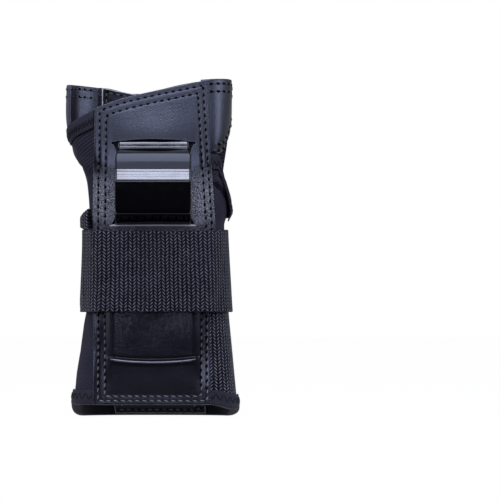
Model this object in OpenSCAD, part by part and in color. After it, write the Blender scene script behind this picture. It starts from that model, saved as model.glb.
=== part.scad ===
// Wrist guard for a right hand, standing on its cuff.
// +Z points to the fingers, the palm side faces -Y and the thumb side is at +X.
// A knit sleeve carries a leather palm panel with a bent splint threaded through its slots,
// a second splint in a pocket inside the back, and an elastic strap that goes round the wrist.

/* [Sleeve heights] */
// Height of the guard at the web of the thumb
guard_h = 170; // [164:1:178]
// Height of the narrow waist below the thumb hole
waist_z = 117; // [110:1:122]
// Height at which the sleeve reaches the full width of the hand
hand_z = 143; // [138:1:148]
// Height of the little-finger side where it meets the back
little_finger_z = 131; // [127:1:135]
// How much higher the rim is under the palm than at the back
cuff_rise = 6.5; // [3:0.5:9]
// How much lower the rim is on the thumb side than under the palm
cuff_thumb_drop = 2.5; // [0:0.5:3]

/* [Sleeve widths] */
// Width of the cuff at its rim
cuff_w = 84.5; // [78:0.5:92]
// Width of the forearm part, a little above the cuff
forearm_w = 77; // [72:0.5:84]
// Width at the wrist, under the strap
wrist_w = 70; // [65:0.5:77]
// Width at the waist
waist_w = 68.5; // [64:0.5:75]
// Width over the knuckles
hand_w = 82; // [77:0.5:88]
// Width at the top edge
top_w = 83.6; // [78:0.2:90]

/* [Sleeve depths] */
// Depth of the cuff at its rim
cuff_d = 57; // [52:0.5:66]
// Depth of the forearm part
forearm_d = 54; // [49:0.5:62]
// Depth at the wrist
wrist_d = 51; // [46:0.5:58]
// Depth at the waist
waist_d = 49; // [45:0.5:56]
// Depth over the knuckles
hand_d = 50; // [46:0.5:58]
// Depth at the top edge
top_d = 48; // [44:0.5:56]

/* [Sleeve placement] */
// How far the cuff sits towards the thumb
cuff_x = 1.5; // [0:0.1:4]
// How far the forearm part sits towards the thumb
forearm_x = 2.4; // [0:0.1:4]
// How far the wrist sits towards the thumb
wrist_x = 3.2; // [0:0.1:4]
// How far the waist sits towards the thumb
waist_x = 1.9; // [0:0.1:4]
// How far the hand sits towards the little finger
hand_x = 1.3; // [0:0.1:4]
// How far the cuff sits towards the back
cuff_y = 3.5; // [1:0.5:6]
// How far the forearm part sits towards the back
forearm_y = 2.5; // [1:0.5:5]
// How far the wrist sits towards the back
wrist_y = 1.5; // [0:0.5:4]
// How far the knuckles sit towards the back
hand_y = 5; // [3:0.5:8]
// How far the top edge leans towards the back
top_y = 11; // [7:0.5:14]

/* [Materials] */
// Thickness of the padded knit wall
wall_t = 3; // [2:0.1:4]
// Thickness of the leather panels
leather_t = 1.2; // [0.9:0.1:1.8]
// Thickness of the leather web pieces beside the fingers
web_t = 2; // [1.4:0.1:2.6]
// Thickness of the elastic webbing
webbing_t = 1.8; // [1.2:0.1:2.4]
// Thickness of the binding tape
tape_t = 0.7; // [0.5:0.1:1]
// Width of the binding tape on each face
tape_w = 6.5; // [5:0.5:8]
// Clearance between pieces that lie against each other
seam_gap = 0.3; // [0.2:0.05:0.4]

/* [Palm panel] */
// Reach of the palm panel towards the little finger
palm_left = 28; // [26:0.5:29]
// Reach of the palm panel towards the thumb at the cuff
palm_right_cuff = 29; // [27:0.5:31]
// Reach of the palm panel towards the thumb at the heel of the hand
palm_right_heel = 31.3; // [29:0.5:32]
// Reach of the palm panel towards the thumb at its top
palm_right_top = 27; // [25:0.5:29]
// How much lower the little-finger corner of the panel is than its thumb corner
palm_slope = 14.5; // [10:0.5:17]
// Width of the slots for the splint
slot_w = 42; // [41:0.5:43]
// Place of the slots and of the splint towards the thumb
slot_x = 1.2; // [0:0.1:2]
// How far below the top of the guard the upper slot has its lower edge
upper_slot_drop = 38.5; // [34:0.5:42]
// Opening of the upper slot
upper_slot_h = 6.5; // [5:0.5:8]
// Opening of the middle slot
middle_slot_h = 6.3; // [5:0.1:8]
// Height of the lower slot
lower_slot_z = 28.5; // [24:0.5:36]
// Opening of the lower slot
lower_slot_h = 1.4; // [1:0.1:2]

/* [Splints] */
// Width of the palm splint
splint_w = 38; // [34:0.5:39]
// Thickness of the palm splint
splint_t = 2.2; // [1.6:0.1:2.8]
// How far the splint bows out over the heel of the hand
bow_h = 11; // [8:0.5:14]
// How far the flat front of the bow lies below the upper slot
bow_drop = 12.3; // [11:0.1:14]
// Height of the flat front of the bow
bow_flat = 10.2; // [8:0.1:12]
// Height of the sloping band at the crest of the bow
crest_h = 5; // [3:0.5:6]
// How far the sloping band leans back
crest_lean = 2; // [1:0.5:3]
// Radius of the bends at the crest of the bow
crest_r = 4; // [3:0.5:6]
// Radius of the bends where the splint leaves the palm
root_r = 3; // [2:0.5:5]
// Corner radius of the palm splint
splint_r = 8; // [4:0.5:12]
// Width of the back splint
back_splint_w = 36; // [30:0.5:40]
// Thickness of the back splint
back_splint_t = 2; // [1.4:0.1:2.6]
// Height of the lower end of the back splint
back_splint_z = 18; // [15:1:22]
// Length of the back splint
back_splint_l = 130; // [120:1:134]
// Thickness of the foam pad over the back splint
pad_t = 2; // [1.5:0.1:3]

/* [Strap] */
// Width of the strap
strap_w = 41; // [37:0.5:45]
// Height of the lower edge of the strap
strap_z = 53; // [48:0.5:56]
// How much higher the strap starts at its sewn end
anchor_rise = 17; // [10:0.5:20]
// Thickness of the hook patch and of the loop patch
patch_t = 0.8; // [0.6:0.1:1.2]
// Width of the hook patch and of the loop patch
patch_w = 32; // [26:0.5:34]

/* [Thumb hole] */
// Lower edge of the thumb hole beside the palm panel
thumb_near_low = 120; // [117:0.5:122]
// Upper edge of the thumb hole beside the palm panel
thumb_near_high = 133; // [131:0.5:136]
// Lower edge of the thumb hole at the side
thumb_side_low = 106.5; // [103:0.5:110]
// Upper edge of the thumb hole at the side
thumb_side_high = 145.5; // [142:0.5:148]
// How far the lower edge of the thumb hole flares out
thumb_flare = 2; // [0:0.5:3]

/* [Hidden] */

knit_colour = "#2b2934";
leather_colour = "#24242b";
webbing_colour = "#1d1c25";
tape_colour = "#15151a";
plastic_colour = "#08080b";

// The palm half of each cross-section is flatter than the back half
palm_power = 4;
back_power = 2.6;
// The strap is tightest near its lower edge
wrist_step = 8;
wrist_z = strap_z + wrist_step;
strap_middle = strap_z + strap_w / 2;
forearm_z = 30;
// Rings of the sleeve from the cuff up: height, width, depth, place in X, place in Y
rings = [
    [0, cuff_w, cuff_d, cuff_x, cuff_y],
    [forearm_z, forearm_w, forearm_d, forearm_x, forearm_y],
    [wrist_z, wrist_w, wrist_d, wrist_x, wrist_y],
    [waist_z, waist_w, waist_d, waist_x, wrist_y],
    [hand_z, hand_w, hand_d, -hand_x, hand_y],
    [guard_h, top_w, top_d, -hand_x, top_y]
];

// Angles round the sleeve, in degrees from +X over the back at 90 to the palm at 270
little_finger_seam_x = -27.5;
thumb_back_angle = 12;
web_end_angle = 196;
// Angle left open at a seam between two pieces of the sleeve
seam_angle = 0.6;
// The rim drops behind both sides, between these angles from the palm's middle
rim_full_angle = 88;
rim_end_angle = 114;
// It comes down a little past the palm panel on the thumb side
rim_thumb_angle = 46;
rim_thumb_stretch = 20;
// The fabric under the thumb hole flares from one angle over a stretch, and back before the seam
lip_start = 318;
lip_grow = 26;
lip_fade = 12;

// Top edges of the sleeve, below the full height
back_drop = 6.5;
back_top = guard_h - back_drop;
back_corner_rise = 3;
web_drop = 0.5;
thumb_web_top = guard_h - web_drop;
little_finger_drop = 3.5;
little_finger_web_top = guard_h - little_finger_drop;
web_crest = 1.2;
web_fall = 4;
gusset_under = 4;
gusset_high = strap_z + gusset_under;

// Palm panel and splint
seam_in = 2;
edge_in = 0.5;
palm_low = cuff_rise + edge_in;
palm_drop = 0.8;
palm_top = guard_h - palm_drop;
binding_top = cuff_rise + tape_t + seam_gap + tape_w;
slot_left = slot_x - slot_w / 2;
slot_right = slot_x + slot_w / 2;
upper_slot_z = guard_h - upper_slot_drop;
upper_slot_top = upper_slot_z + upper_slot_h;
slot_clear = 2;
middle_slot_z = strap_z + strap_w + slot_clear;
middle_slot_top = middle_slot_z + middle_slot_h;
splint_margin = 5;
splint_low = binding_top + 2 * seam_gap;
splint_top = palm_top - palm_slope - splint_margin;
// The flat splint lies on a wall that curves back a little at its edges
crown = 0.8;
pocket_h = splint_t + seam_gap + crown;
// The leather comes down from the splint beside the slots and past the splint's ends
pocket_side = 3;
pocket_end = 4;
binding_ramp = 5;
// The splint leaves the palm a little above the lower edge of a slot
slot_step = 2;

// Back pocket
back_wall = wall_t + seam_gap;
lining_left_top = -27;
lining_left_low = -20;
lining_taper = 16;
lining_right = 29;
lining_low = 1;
lining_drop = 10;
lining_top = guard_h - lining_drop;
lining_corner = 6.5;
back_splint_top = back_splint_z + back_splint_l;
back_pocket_h = back_splint_t + pad_t + 2 * seam_gap;
back_pocket_side = 4;
back_pocket_end = 8;
plate_end = 10;
plate_power = 4;

// Strap layers
layer = webbing_t + seam_gap;
front_hinge = 208;
back_hinge = 140;
hinge_gap = 0.5;
strap_join = 20;
tail_end = 62;
patch_start = 72;
patch_end = 112;
tail_lift = layer + 2 * (patch_t + seam_gap) + seam_gap;
tail_step = 12;
// The sewn end climbs towards the palm from one angle over a stretch
anchor_bend = 150;
anchor_stretch = 78;
anchor_curve = 1.6;
// The strap comes down beside the splint pocket and beside the palm panel
drape_start = 13;
drape = 8;
panel_drape = 4;

function mix(a, b, f) = a + (b - a) * f;
function clamp(f) = min(1, max(0, f));
function ease(f) = let (c = clamp(f)) c * c * (3 - 2 * c);
function steps(n) = [for (i = [0 : n]) i / n];
function span(a, b, n) = [for (i = [0 : n - 1]) mix(a, b, i / n)];

// Smooth curve through the rings
function ring_slope(i, k) =
    let (lo = max(0, i - 1), hi = min(len(rings) - 1, i + 1))
    (rings[hi][k] - rings[lo][k]) / (rings[hi][0] - rings[lo][0]);
function ring_below(z) = max([for (i = [0 : len(rings) - 2]) z >= rings[i][0] ? i : 0]);
function ring_value(z, k) =
    let (
        i = ring_below(z),
        h = rings[i + 1][0] - rings[i][0],
        f = (z - rings[i][0]) / h,
        p0 = rings[i][k],
        p1 = rings[i + 1][k],
        m0 = ring_slope(i, k) * h,
        m1 = ring_slope(i + 1, k) * h
    )
    p0 * (1 + 2 * f) * (1 - f) ^ 2 + m0 * f * (1 - f) ^ 2 + p1 * f ^ 2 * (3 - 2 * f) - m1 * f ^ 2 * (1 - f);

// Point of the sleeve at an angle and a height, moved out by d
function wall(angle, z, d) =
    let (
        a = ring_value(z, 1) / 2,
        b = ring_value(z, 2) / 2,
        n = sin(angle) < 0 ? palm_power : back_power,
        c = cos(angle),
        s = sin(angle),
        r = (abs(c / a) ^ n + abs(s / b) ^ n) ^ (-1 / n),
        nx = sign(c) * abs(r * c / a) ^ (n - 1) / a,
        ny = sign(s) * abs(r * s / b) ^ (n - 1) / b,
        l = norm([nx, ny])
    )
    [ring_value(z, 3) + r * c + d * nx / l, ring_value(z, 4) + r * s + d * ny / l, z];

// Angle at which the palm half, or the back half, has a given X
function half_y(x, z, n) =
    let (u = min(0.999, abs(x - ring_value(z, 3)) * 2 / ring_value(z, 1)))
    ring_value(z, 2) / 2 * (1 - u ^ n) ^ (1 / n);
function palm_angle(x, z) = 360 + atan2(-half_y(x, z, palm_power), x - ring_value(z, 3));
function back_angle(x, z) = atan2(half_y(x, z, back_power), x - ring_value(z, 3));
// Y of the palm side's middle line
function palm_y(z) = ring_value(z, 4) - ring_value(z, 2) / 2;

// Grid of points over a stretch of the sleeve
function grid(from, to, low, high, out, us, vs) =
    [for (v = vs) [for (u = us)
        let (z = mix(low(u), high(u), v), angle = mix(from(z), to(z), u))
        wall(angle, z, out(angle, z))]];

// Thin solid between two grids of points, with an opening for each cell that keep() drops
module sheet(outer, inner, keep = function (i, j) true, round = false) {
    rows = len(outer);
    cols = len(outer[0]);
    cells_i = round ? cols : cols - 1;
    cells_j = rows - 1;
    skin = rows * cols;
    points = [each for (g = [outer, inner]) [for (row = g) each row]];
    function id(i, j) = j * cols + (i % cols);
    function kept(i, j) =
        j >= 0 && j < cells_j && (round || (i >= 0 && i < cells_i))
            ? keep((i + cells_i) % cells_i, j) : false;
    function edge(a, b) = [[a, b, b + skin], [a, b + skin, a + skin]];
    faces = [each for (j = [0 : cells_j - 1], i = [0 : cells_i - 1])
        if (kept(i, j))
            let (a = id(i, j), b = id(i + 1, j), c = id(i + 1, j + 1), d = id(i, j + 1))
            [
                [a, d, c], [a, c, b],
                [a + skin, b + skin, c + skin], [a + skin, c + skin, d + skin],
                each (kept(i - 1, j) ? [] : edge(d, a)),
                each (kept(i, j - 1) ? [] : edge(a, b)),
                each (kept(i + 1, j) ? [] : edge(b, c)),
                each (kept(i, j + 1) ? [] : edge(c, d))
            ]];
    polyhedron(points, faces, convexity = 10);
}

// Stretch of the sleeve wall between two depths. Rows crowd towards its upper edge when crowd is above 1
module wall_piece(
    from, to, low, high, outside, inside, cols, rows, flare = function (angle, z) 0, crowd = 1
) {
    us = steps(cols);
    vs = [for (f = steps(rows)) 1 - (1 - f) ^ crowd];
    sheet(
        grid(from, to, low, high, function (angle, z) flare(angle, z) + outside, us, vs),
        grid(from, to, low, high, function (angle, z) flare(angle, z) + inside, us, vs)
    );
}

// Edges of the sleeve's pieces
function rim(angle) =
    let (
        turn = ((angle + 90) % 360 + 360) % 360,
        off = min(turn, 360 - turn),
        thumb = turn < 180 ? ease((turn - rim_thumb_angle) / rim_thumb_stretch) : 0
    )
    (cuff_rise - thumb * cuff_thumb_drop) * ease((rim_end_angle - off) / (rim_end_angle - rim_full_angle));
function wall_low(angle) = rim(angle) + tape_t + seam_gap;
function palm_right(z) =
    z < middle_slot_z
        ? mix(palm_right_cuff, palm_right_heel, ease((z - strap_z) / strap_w))
        : mix(palm_right_heel, palm_right_top, (z - middle_slot_z) / (guard_h - middle_slot_z));
function palm_edge_high(x) =
    let (u = clamp((x + palm_left) / (palm_left + palm_right_top)))
    palm_top - palm_slope * (1 - 0.8 * u - 0.2 * (1 - (1 - u) ^ 6));
function left_seam(z) = palm_angle(-palm_left + seam_in, z);
function right_seam(z) = palm_angle(palm_right(z) - seam_in, z);
function back_seam(z) = back_angle(little_finger_seam_x, z);
function little_finger_high(u) =
    mix(little_finger_z, palm_top - palm_slope, u ^ 1.5);
function thumb_low(u) = mix(thumb_near_low, thumb_side_low, ease(u / 0.7));
function thumb_high(u) = mix(thumb_near_high, thumb_side_high, ease(u / 0.7));
// The fabric under the thumb hole flares out towards its edge, most of all at the side
function thumb_lip(angle, z) =
    thumb_flare * ease((z - middle_slot_z) / (thumb_side_low - middle_slot_z))
    * ease((angle - lip_start) / lip_grow) * ease((360 + thumb_back_angle - angle) / lip_fade);
function thumb_web_high(u) = thumb_web_top + web_crest * sin(180 * u) - web_fall * u ^ 2;
function little_finger_web_high(u) = little_finger_web_top + web_crest * sin(180 * u);
function back_high(u) = back_top + back_corner_rise * ease(4 * u - 3);

// Sleeve
module palm_base() {
    color(knit_colour)
    wall_piece(
        function (z) left_seam(z) + seam_angle, function (z) right_seam(z) - seam_angle,
        function (u) cuff_rise + tape_t + seam_gap,
        function (u) palm_edge_high(mix(-palm_left, palm_right_top, u)) - edge_in,
        0, -wall_t, 10, 14
    );
}

module little_finger_side() {
    color(knit_colour)
    wall_piece(
        function (z) back_seam(z) + seam_angle, function (z) left_seam(z),
        function (u) wall_low(mix(back_seam(0), left_seam(0), u)),
        function (u) little_finger_high(u),
        0, -wall_t, 16, 16, crowd = 1.7
    );
}

module back_base() {
    color(knit_colour)
    wall_piece(
        function (z) thumb_back_angle + seam_angle, function (z) back_seam(z),
        function (u) wall_low(mix(thumb_back_angle + seam_angle, back_seam(0), u)), function (u) back_high(u),
        0, -wall_t, 22, 14
    );
}

module cuff_gusset() {
    color(webbing_colour)
    wall_piece(
        function (z) right_seam(z), function (z) 360 + thumb_back_angle,
        function (u) wall_low(mix(right_seam(0), 360 + thumb_back_angle, u)),
        function (u) gusset_high,
        0, -wall_t, 14, 6
    );
}

module thumb_side() {
    color(knit_colour)
    wall_piece(
        function (z) right_seam(z), function (z) 360 + thumb_back_angle,
        function (u) gusset_high + seam_gap, function (u) thumb_low(u),
        0, -wall_t, 12, 8, function (angle, z) thumb_lip(angle, z)
    );
}

module thumb_web() {
    color(leather_colour)
    wall_piece(
        function (z) right_seam(z), function (z) 360 + thumb_back_angle,
        function (u) thumb_high(u), function (u) thumb_web_high(u),
        0, -web_t, 12, 5
    );
}

module little_finger_web() {
    color(leather_colour)
    wall_piece(
        function (z) back_seam(z) + seam_angle, function (z) web_end_angle,
        function (u) little_finger_high(u * web_share) + seam_gap,
        function (u) little_finger_web_high(u),
        0, -web_t, 12, 5
    );
}
// Share of the little-finger side's top edge that the leather web covers
web_share = (web_end_angle - back_seam(hand_z)) / (left_seam(hand_z) - back_seam(hand_z));

// Palm panel: columns and rows follow its slots
function palm_columns(z) = concat(
    span(-palm_left, slot_left - pocket_side, 2),
    span(slot_left - pocket_side, slot_left, 2),
    span(slot_left, slot_right, 10),
    span(slot_right, slot_right + pocket_side, 2),
    span(slot_right + pocket_side, palm_right(z), 2),
    [palm_right(z)]
);
function palm_rows(x) = concat(
    span(palm_low, lower_slot_z, 4),
    span(lower_slot_z, lower_slot_z + lower_slot_h, 1),
    span(lower_slot_z + lower_slot_h, middle_slot_z, 5),
    span(middle_slot_z, middle_slot_top, 1),
    span(middle_slot_top, upper_slot_z, 3),
    span(upper_slot_z, upper_slot_top, 1),
    span(upper_slot_top, palm_edge_high(x), 5),
    [palm_edge_high(x)]
);
// Row and column numbers of the slots
slot_rows = [4, 10, 14];
slot_columns = [4, 13];

function over_splint(x, z) =
    let (
        side = (slot_w / 2 - abs(x - slot_x)) / pocket_side + 1,
        low = (z - splint_low) / pocket_end + 1,
        high = (splint_top - z) / pocket_end + 2,
        hidden = z <= middle_slot_z || z >= upper_slot_top ? 1 : 0
    )
    hidden * ease(side) * ease(low) * ease(high);
function over_binding(z) = ease((binding_top - z) / binding_ramp + 1);
function panel_lift(x, z) =
    seam_gap + over_binding(z) * (tape_t + seam_gap) + over_splint(x, z) * pocket_h;
function panel_grid(extra) =
    [for (j = [0 : len(palm_rows(0)) - 1]) [for (i = [0 : len(palm_columns(0)) - 1])
        let (
            x0 = palm_columns(strap_middle)[i],
            x = palm_columns(palm_rows(x0)[j])[i],
            z = palm_rows(x)[j]
        )
        wall(palm_angle(x, z), z, panel_lift(x, z) + extra)]];

module palm_panel() {
    color(leather_colour)
    sheet(
        panel_grid(leather_t), panel_grid(0),
        function (i, j)
            len(search(j, slot_rows)) == 0 || i < slot_columns[0] || i > slot_columns[1]
    );
}

// Palm splint: a strip whose side view follows the palm, bent out between the two upper slots
bow_top = upper_slot_z + slot_step;
bow_low = middle_slot_z + slot_step;
bow_crest = upper_slot_z - bow_drop;
// Corners of its inner face, as distance out from the palm and height
splint_corners = [
    [seam_gap, splint_low],
    [seam_gap, bow_low],
    [seam_gap + bow_h, bow_crest - bow_flat],
    [seam_gap + bow_h, bow_crest],
    [seam_gap + bow_h - crest_lean, bow_crest + crest_h],
    [seam_gap, bow_top],
    [seam_gap, splint_top]
];
// Arc of radius r that rounds the corner q between p and s
function bend(p, q, s, r, n) =
    let (
        u = (p - q) / norm(p - q),
        v = (s - q) / norm(s - q),
        half = acos(u * v) / 2,
        centre = q + (u + v) / norm(u + v) * r / sin(half),
        from = q + u * r / tan(half) - centre,
        to = q + v * r / tan(half) - centre,
        start = atan2(from[1], from[0]),
        turn = (atan2(to[1], to[0]) - start + 540) % 360 - 180
    )
    [for (f = steps(n)) centre + r * [cos(start + turn * f), sin(start + turn * f)]];
function splint_bend(i, r, n) =
    bend(splint_corners[i - 1], splint_corners[i], splint_corners[i + 1], r, n);
splint_bow = concat(
    splint_bend(1, root_r, 6),
    splint_bend(2, crest_r, 8),
    splint_bend(3, crest_r, 6),
    splint_bend(4, crest_r, 6),
    splint_bend(5, root_r + splint_t, 8)
);
bow_end = splint_bow[len(splint_bow) - 1];
splint_path = concat(
    [for (f = steps(10)) if (f < 1) mix(splint_corners[0], splint_bow[0], f)],
    splint_bow,
    [for (f = steps(5)) if (f > 0) mix(bow_end, splint_corners[6], f)]
);
function splint_line(i) = [palm_y(splint_path[i][1]) - splint_path[i][0], splint_path[i][1]];
function splint_face(i) =
    let (
        last = len(splint_path) - 1,
        a = splint_line(max(0, i - 1)),
        b = splint_line(min(last, i + 1)),
        t = (b - a) / norm(b - a)
    )
    splint_line(i) + splint_t * [-t[1], t[0]];

module rounded_plate(w, low, high, r) {
    for (x = [-w / 2 + r, w / 2 - r], z = [low + r, high - r])
        translate([x, z]) circle(r, $fn = 64);
    translate([-w / 2 + r, low]) square([w - 2 * r, high - low]);
    translate([-w / 2, low + r]) square([w, high - low - 2 * r]);
}

module palm_splint() {
    last = len(splint_path) - 1;
    color(plastic_colour)
    translate([slot_x, 0, 0])
    intersection() {
        rotate([90, 0, 90])
        linear_extrude(2 * splint_w, center = true)
        polygon(concat(
            [for (i = [0 : last]) splint_line(i)],
            [for (i = [last : -1 : 0]) splint_face(i)]
        ));
        rotate([90, 0, 0])
        linear_extrude(4 * hand_d, center = true)
        rounded_plate(splint_w, splint_low, splint_top, splint_r);
    }
}

// Pocket inside the back: lining, pad and splint
function lining_left(z) = mix(lining_left_low, lining_left_top, ease(z / lining_taper));
function over_back_splint(x, z) =
    ease((back_splint_w / 2 - abs(x - slot_x)) / back_pocket_side + 2)
    * ease((z - back_splint_z) / back_pocket_end + 2)
    * ease((back_splint_top - z) / back_pocket_end + 2);
function lining_out(angle, z) =
    let (x = wall(angle, z, 0)[0])
    -back_wall
    - ease((binding_top - z) / binding_ramp + 1) * (tape_t + seam_gap)
    - over_back_splint(x, z) * back_pocket_h;
function lining_high(u) = lining_top + lining_corner * u ^ 2;

module back_lining() {
    from = function (z) back_angle(lining_right, z);
    to = function (z) back_angle(lining_left(z), z);
    low = function (u) lining_low;
    high = function (u) lining_high(u);
    us = steps(16);
    vs = steps(18);
    color(leather_colour)
    sheet(
        grid(from, to, low, high, function (angle, z) lining_out(angle, z), us, vs),
        grid(from, to, low, high, function (angle, z) lining_out(angle, z) - leather_t, us, vs)
    );
}

module back_plate(w, low, high, outside, t) {
    function drop(u) = plate_end * (1 - (1 - abs(2 * u - 1) ^ plate_power) ^ (1 / plate_power));
    wall_piece(
        function (z) back_angle(slot_x + w / 2, z), function (z) back_angle(slot_x - w / 2, z),
        function (u) low + drop(u), function (u) high - drop(u),
        outside, outside - t, 10, 12
    );
}

module back_splint() {
    color(plastic_colour)
    back_plate(back_splint_w, back_splint_z, back_splint_top, -back_wall, back_splint_t);
}

module back_pad() {
    color("#3a3a40")
    back_plate(back_splint_w, back_splint_z, back_splint_top,
        -back_wall - back_splint_t - seam_gap, pad_t);
}

// Binding tape folded over an edge. edge(u) gives the angle and the height of the fabric's edge,
// and into is 1 where the fabric lies above the edge or -1 where it lies below
module binding(edge, into, cols, thick, round = false, flare = function (angle, z) 0) {
    us = round ? [for (i = [0 : cols - 1]) i / cols] : steps(cols);
    function fold(near, far, past) = [
        [near, tape_w], [near, -past], [far, -past], [far, tape_w]
    ];
    outer = fold(-thick - seam_gap - tape_t, seam_gap + tape_t, seam_gap + tape_t);
    inner = fold(-thick - seam_gap, seam_gap, seam_gap);
    function place(p, u) =
        let (e = edge(u), z = e[1] + into * p[1])
        wall(e[0], z, p[0] + flare(e[0], z));
    sheet(
        [for (p = outer) [for (u = us) place(p, u)]],
        [for (p = inner) [for (u = us) place(p, u)]],
        round = round
    );
}

module cuff_binding() {
    color(tape_colour)
    binding(function (u) [360 * u, wall_low(360 * u)], 1, 72, wall_t, true);
}

module little_finger_binding() {
    z0 = palm_top - palm_slope;
    start = (palm_angle(-palm_left - 2 * seam_gap, z0) - back_seam(z0)) / (left_seam(z0) - back_seam(z0));
    edge = function (u)
        let (share = mix(start, web_share, u), z = little_finger_high(share))
        [mix(back_seam(z) + seam_angle, left_seam(z), share), z];
    color(tape_colour)
    binding(edge, -1, 10, wall_t);
}

module thumb_binding() {
    z0 = thumb_near_low;
    far = 360 + thumb_back_angle;
    start = (palm_angle(palm_right(z0) + 2 * seam_gap, z0) - right_seam(z0)) / (far - right_seam(z0));
    edge = function (u)
        let (share = mix(1, start, u), z = thumb_low(share))
        [mix(right_seam(z), far, share), z];
    color(tape_colour)
    binding(edge, -1, 14, wall_t, flare = function (angle, z) thumb_lip(angle, z));
}

// Strap: its front crosses the palm panel, its back turn lies on the sleeve
function anchor_lift(angle) = anchor_rise * clamp((angle - anchor_bend) / anchor_stretch) ^ anchor_curve;
function strap_over_palm(angle, z) =
    let (
        x = wall(angle, z, 0)[0],
        pocket = ease((splint_w / 2 + drape_start - abs(x - slot_x)) / drape),
        panel = ease((palm_right(z) - x) / panel_drape + 1.2)
    )
    seam_gap + panel * (leather_t + seam_gap) + pocket * pocket_h;
over_anchor = layer + seam_gap;

module strap_piece(from, to, rise, lift, cols) {
    us = steps(cols);
    vs = steps(5);
    low = function (u) strap_z + rise(mix(from(strap_middle), to(strap_middle), u));
    high = function (u) low(u) + strap_w;
    sheet(
        grid(from, to, low, high, function (angle, z) lift(angle, z) + webbing_t, us, vs),
        grid(from, to, low, high, lift, us, vs)
    );
}
level = function (angle) 0;

module strap_back_turn() {
    color(webbing_colour)
    strap_piece(
        function (z) strap_join, function (z) palm_angle(-palm_left - 2 * seam_gap, z),
        function (angle) anchor_lift(angle), function (angle, z) seam_gap, 40
    );
}

module strap_front() {
    color(webbing_colour)
    strap_piece(
        function (z) front_hinge + hinge_gap,
        function (z) 360 + strap_join - hinge_gap,
        level,
        function (angle, z) max(strap_over_palm(angle, z), angle < 270 ? over_anchor : 0),
        44
    );
}

module strap_side() {
    color(webbing_colour)
    strap_piece(
        function (z) back_hinge + hinge_gap,
        function (z) front_hinge,
        level, function (angle, z) over_anchor, 18
    );
}

module strap_tail() {
    color(webbing_colour)
    strap_piece(
        function (z) tail_end, function (z) back_hinge, level,
        function (angle, z)
            mix(tail_lift, over_anchor, ease((angle - patch_end) / tail_step)),
        16
    );
}

module strap_patch(out) {
    low = strap_z + (strap_w - patch_w) / 2;
    wall_piece(
        function (z) patch_start, function (z) patch_end,
        function (u) low, function (u) low + patch_w,
        out + patch_t, out, 10, 3
    );
}

module loop_patch() {
    color("#2c2c34") strap_patch(layer + seam_gap);
}

module hook_patch() {
    color("#18181c") strap_patch(layer + patch_t + 2 * seam_gap);
}

// The origin lies under the middle of the guard's box
bow_reach = max([for (i = [0 : len(splint_path) - 1]) -splint_face(i)[0]]);
middle_x = (cuff_x + cuff_w / 2 + seam_gap + tape_t - hand_x - top_w / 2) / 2;
middle_y = (ring_value(back_top, 4) + ring_value(back_top, 2) / 2 - bow_reach) / 2;
module placed() {
    translate([-middle_x, -middle_y, 0]) children();
}

placed() palm_base();
placed() little_finger_side();
placed() back_base();
placed() cuff_gusset();
placed() thumb_side();
placed() thumb_web();
placed() little_finger_web();
placed() palm_panel();
placed() palm_splint();
placed() back_lining();
placed() back_pad();
placed() back_splint();
placed() cuff_binding();
placed() little_finger_binding();
placed() thumb_binding();
placed() strap_back_turn();
placed() strap_front();
placed() strap_side();
placed() strap_tail();
placed() hook_patch();
placed() loop_patch();
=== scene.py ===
# %% [markdown]
# # Wrist guard
#
# The CAD model gives the guard's sizes, its joints and its stiff core. This lesson dresses it:
# knit, leather, webbing and tape are laid over the same sleeve shape, sewn with thread,
# and lit like a product on a white table.

import math
from functools import lru_cache
from itertools import accumulate, pairwise

import bmesh
import bpy
from mathutils import Matrix, Vector, noise
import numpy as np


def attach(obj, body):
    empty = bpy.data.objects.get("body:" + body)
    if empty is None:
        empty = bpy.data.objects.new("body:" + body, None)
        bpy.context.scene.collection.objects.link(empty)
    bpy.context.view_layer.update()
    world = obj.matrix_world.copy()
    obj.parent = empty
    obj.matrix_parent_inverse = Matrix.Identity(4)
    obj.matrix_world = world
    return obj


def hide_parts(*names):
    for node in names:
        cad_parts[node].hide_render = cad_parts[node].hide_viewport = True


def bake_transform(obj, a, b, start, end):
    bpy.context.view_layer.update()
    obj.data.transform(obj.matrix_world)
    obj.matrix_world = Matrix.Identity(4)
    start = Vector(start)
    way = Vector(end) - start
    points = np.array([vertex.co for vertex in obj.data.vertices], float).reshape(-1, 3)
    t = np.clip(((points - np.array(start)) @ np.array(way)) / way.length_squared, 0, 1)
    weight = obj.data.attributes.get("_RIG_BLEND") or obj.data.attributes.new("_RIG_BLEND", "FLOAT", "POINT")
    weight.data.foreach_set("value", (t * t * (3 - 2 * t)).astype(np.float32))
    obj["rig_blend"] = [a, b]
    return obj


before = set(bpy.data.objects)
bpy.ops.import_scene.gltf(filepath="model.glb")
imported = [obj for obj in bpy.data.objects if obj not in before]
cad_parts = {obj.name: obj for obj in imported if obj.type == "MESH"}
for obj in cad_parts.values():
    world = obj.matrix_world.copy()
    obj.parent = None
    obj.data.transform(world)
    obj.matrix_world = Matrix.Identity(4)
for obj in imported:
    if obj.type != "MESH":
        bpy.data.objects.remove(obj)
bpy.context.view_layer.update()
print("CAD nodes:", len(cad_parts))

# %% [markdown]
# ## The sleeve's shape
#
# Every soft piece follows one surface. A point on it is named by an angle round the sleeve
# (0 at the thumb, 90 at the back, 180 at the little finger, 270 at the palm) and a height.
# Lengths here are in millimetres, and they become metres when a mesh is made.

# %% Sizes
MM = 0.001
MIDDLE = Vector((0.825, -1.49, 0))
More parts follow.
